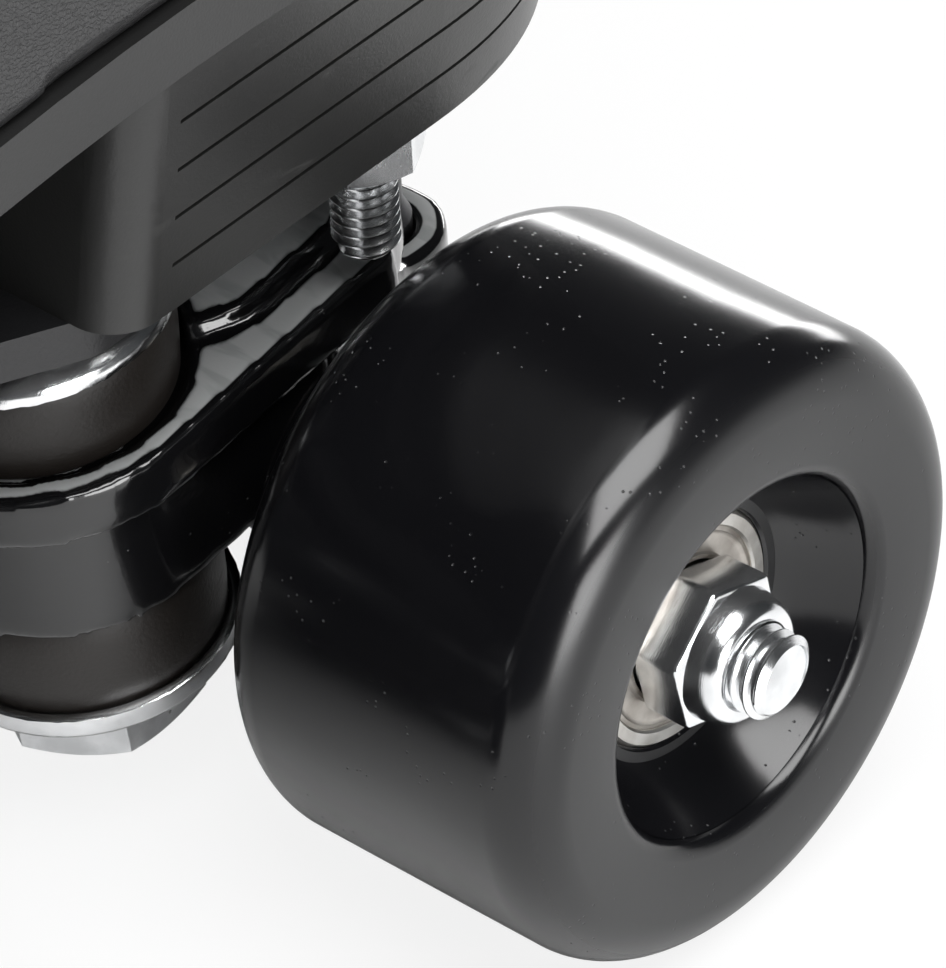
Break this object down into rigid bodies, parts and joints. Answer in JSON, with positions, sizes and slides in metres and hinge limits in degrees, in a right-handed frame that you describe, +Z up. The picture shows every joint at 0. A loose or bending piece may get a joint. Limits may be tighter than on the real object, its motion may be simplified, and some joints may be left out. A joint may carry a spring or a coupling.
{
  "type": "quad roller skate",
  "caption": "Quad roller skate with a high padded strap boot on a stacked heel, a moulded plate, cushioned steering trucks, free-spinning wheels and an adjustable toe stop.",
  "frame": {"origin": "on the ground under the middle of the skate's bounding box", "axes": "+X to the toe, +Y to the outer side of a left foot, +Z up"},
  "size_m": [0.2701, 0.1252, 0.262],
  "materials": {
    "urethane": "glossy cast polyurethane",
    "bearing_steel": "ground bearing steel with pressed shields",
    "aluminium": "turned aluminium",
    "zinc_steel": "bright zinc plate",
    "dark_steel": "black oxide steel",
    "black_casting": "gloss black coat on a casting",
    "cushion_rubber": "matte black rubber",
    "nylon": "moulded black nylon",
    "stop_rubber": "matte black rubber",
    "heel_rubber": "satin moulded rubber",
    "sole_rubber": "satin moulded rubber",
    "leather": "fine grained black leather",
    "tongue_leather": "soft padded black leather",
    "lining": "brushed purple lining cloth",
    "strap_webbing": "black strap with a brushed face"
  },
  "bodies": {
    "chassis": {"upper_cushion_rear": "cushion_rubber", "lower_cushion_rear": "cushion_rubber", "cup_washers_rear": "zinc_steel", "kingpin_nut_rear": "zinc_steel", "kingpin_rear": "zinc_steel", "pivot_cup_rear": "cushion_rubber", "mounting_bolts_rear": "zinc_steel", "upper_cushion_front": "cushion_rubber", "lower_cushion_front": "cushion_rubber", "cup_washers_front": "zinc_steel", "kingpin_nut_front": "zinc_steel", "kingpin_front": "zinc_steel", "pivot_cup_front": "cushion_rubber", "mounting_bolts_front": "zinc_steel", "mounting_nuts": "zinc_steel", "mounting_washers": "zinc_steel", "base_plate": "nylon", "toe_stop_lock_nut": "zinc_steel", "heel": "heel_rubber", "outsole": "sole_rubber", "boot_upper": "leather", "insole": "lining", "tongue": "tongue_leather", "collar_padding": "lining", "strap_lower": "strap_webbing", "strap_middle": "strap_webbing", "strap_top": "strap_webbing"},
    "truck_rear": {"hanger_rear": "black_casting", "axle_rear": "zinc_steel", "pivot_pin_rear": "dark_steel", "axle_nut_rear_left": "zinc_steel", "bearing_inner_rings_rear_left": "bearing_steel", "bearing_spacer_rear_left": "aluminium", "axle_nut_rear_right": "zinc_steel", "bearing_inner_rings_rear_right": "bearing_steel", "bearing_spacer_rear_right": "aluminium"},
    "truck_front": {"hanger_front": "black_casting", "axle_front": "zinc_steel", "pivot_pin_front": "dark_steel", "axle_nut_front_left": "zinc_steel", "bearing_inner_rings_front_left": "bearing_steel", "bearing_spacer_front_left": "aluminium", "axle_nut_front_right": "zinc_steel", "bearing_inner_rings_front_right": "bearing_steel", "bearing_spacer_front_right": "aluminium"},
    "wheel_rear_left_body": {"wheel_rear_left": "urethane", "bearing_outer_rings_rear_left": "bearing_steel", "bearing_balls_rear_left": "bearing_steel"},
    "wheel_rear_right_body": {"wheel_rear_right": "urethane", "bearing_outer_rings_rear_right": "bearing_steel", "bearing_balls_rear_right": "bearing_steel"},
    "wheel_front_left_body": {"wheel_front_left": "urethane", "bearing_outer_rings_front_left": "bearing_steel", "bearing_balls_front_left": "bearing_steel"},
    "wheel_front_right_body": {"wheel_front_right": "urethane", "bearing_outer_rings_front_right": "bearing_steel", "bearing_balls_front_right": "bearing_steel"},
    "toe_stop": {"toe_stop_stem": "zinc_steel", "toe_stop_rubber": "stop_rubber"}
  },
  "joints": [
    {"name": "rear_truck_steer", "type": "hinge", "parent": "chassis", "child": "truck_rear", "pos_m": [-0.1215, 0, 0.06], "axis": [0.8672, 0, -0.498], "range_deg": [-8, 8], "stiffness_Nm_per_rad": 20, "deforming": ["upper_cushion_rear", "lower_cushion_rear"]},
    {"name": "front_truck_steer", "type": "hinge", "parent": "chassis", "child": "truck_front", "pos_m": [0.0675, 0, 0.06], "axis": [-0.8672, 0, -0.498], "range_deg": [-8, 8], "stiffness_Nm_per_rad": 20, "deforming": ["upper_cushion_front", "lower_cushion_front"]},
    {"name": "rear_left_wheel_spin", "type": "hinge", "parent": "truck_rear", "child": "wheel_rear_left_body", "pos_m": [-0.102, 0.042, 0.029], "axis": [0, 1, 0], "continuous": true},
    {"name": "rear_right_wheel_spin", "type": "hinge", "parent": "truck_rear", "child": "wheel_rear_right_body", "pos_m": [-0.102, -0.042, 0.029], "axis": [0, 1, 0], "continuous": true},
    {"name": "front_left_wheel_spin", "type": "hinge", "parent": "truck_front", "child": "wheel_front_left_body", "pos_m": [0.048, 0.042, 0.029], "axis": [0, 1, 0], "continuous": true},
    {"name": "front_right_wheel_spin", "type": "hinge", "parent": "truck_front", "child": "wheel_front_right_body", "pos_m": [0.048, -0.042, 0.029], "axis": [0, 1, 0], "continuous": true},
    {"name": "toe_stop_height", "type": "slide", "parent": "chassis", "child": "toe_stop", "axis": [0.2079, 0, -0.9781], "range_m": [-0.005, 0.004]}
  ]
}
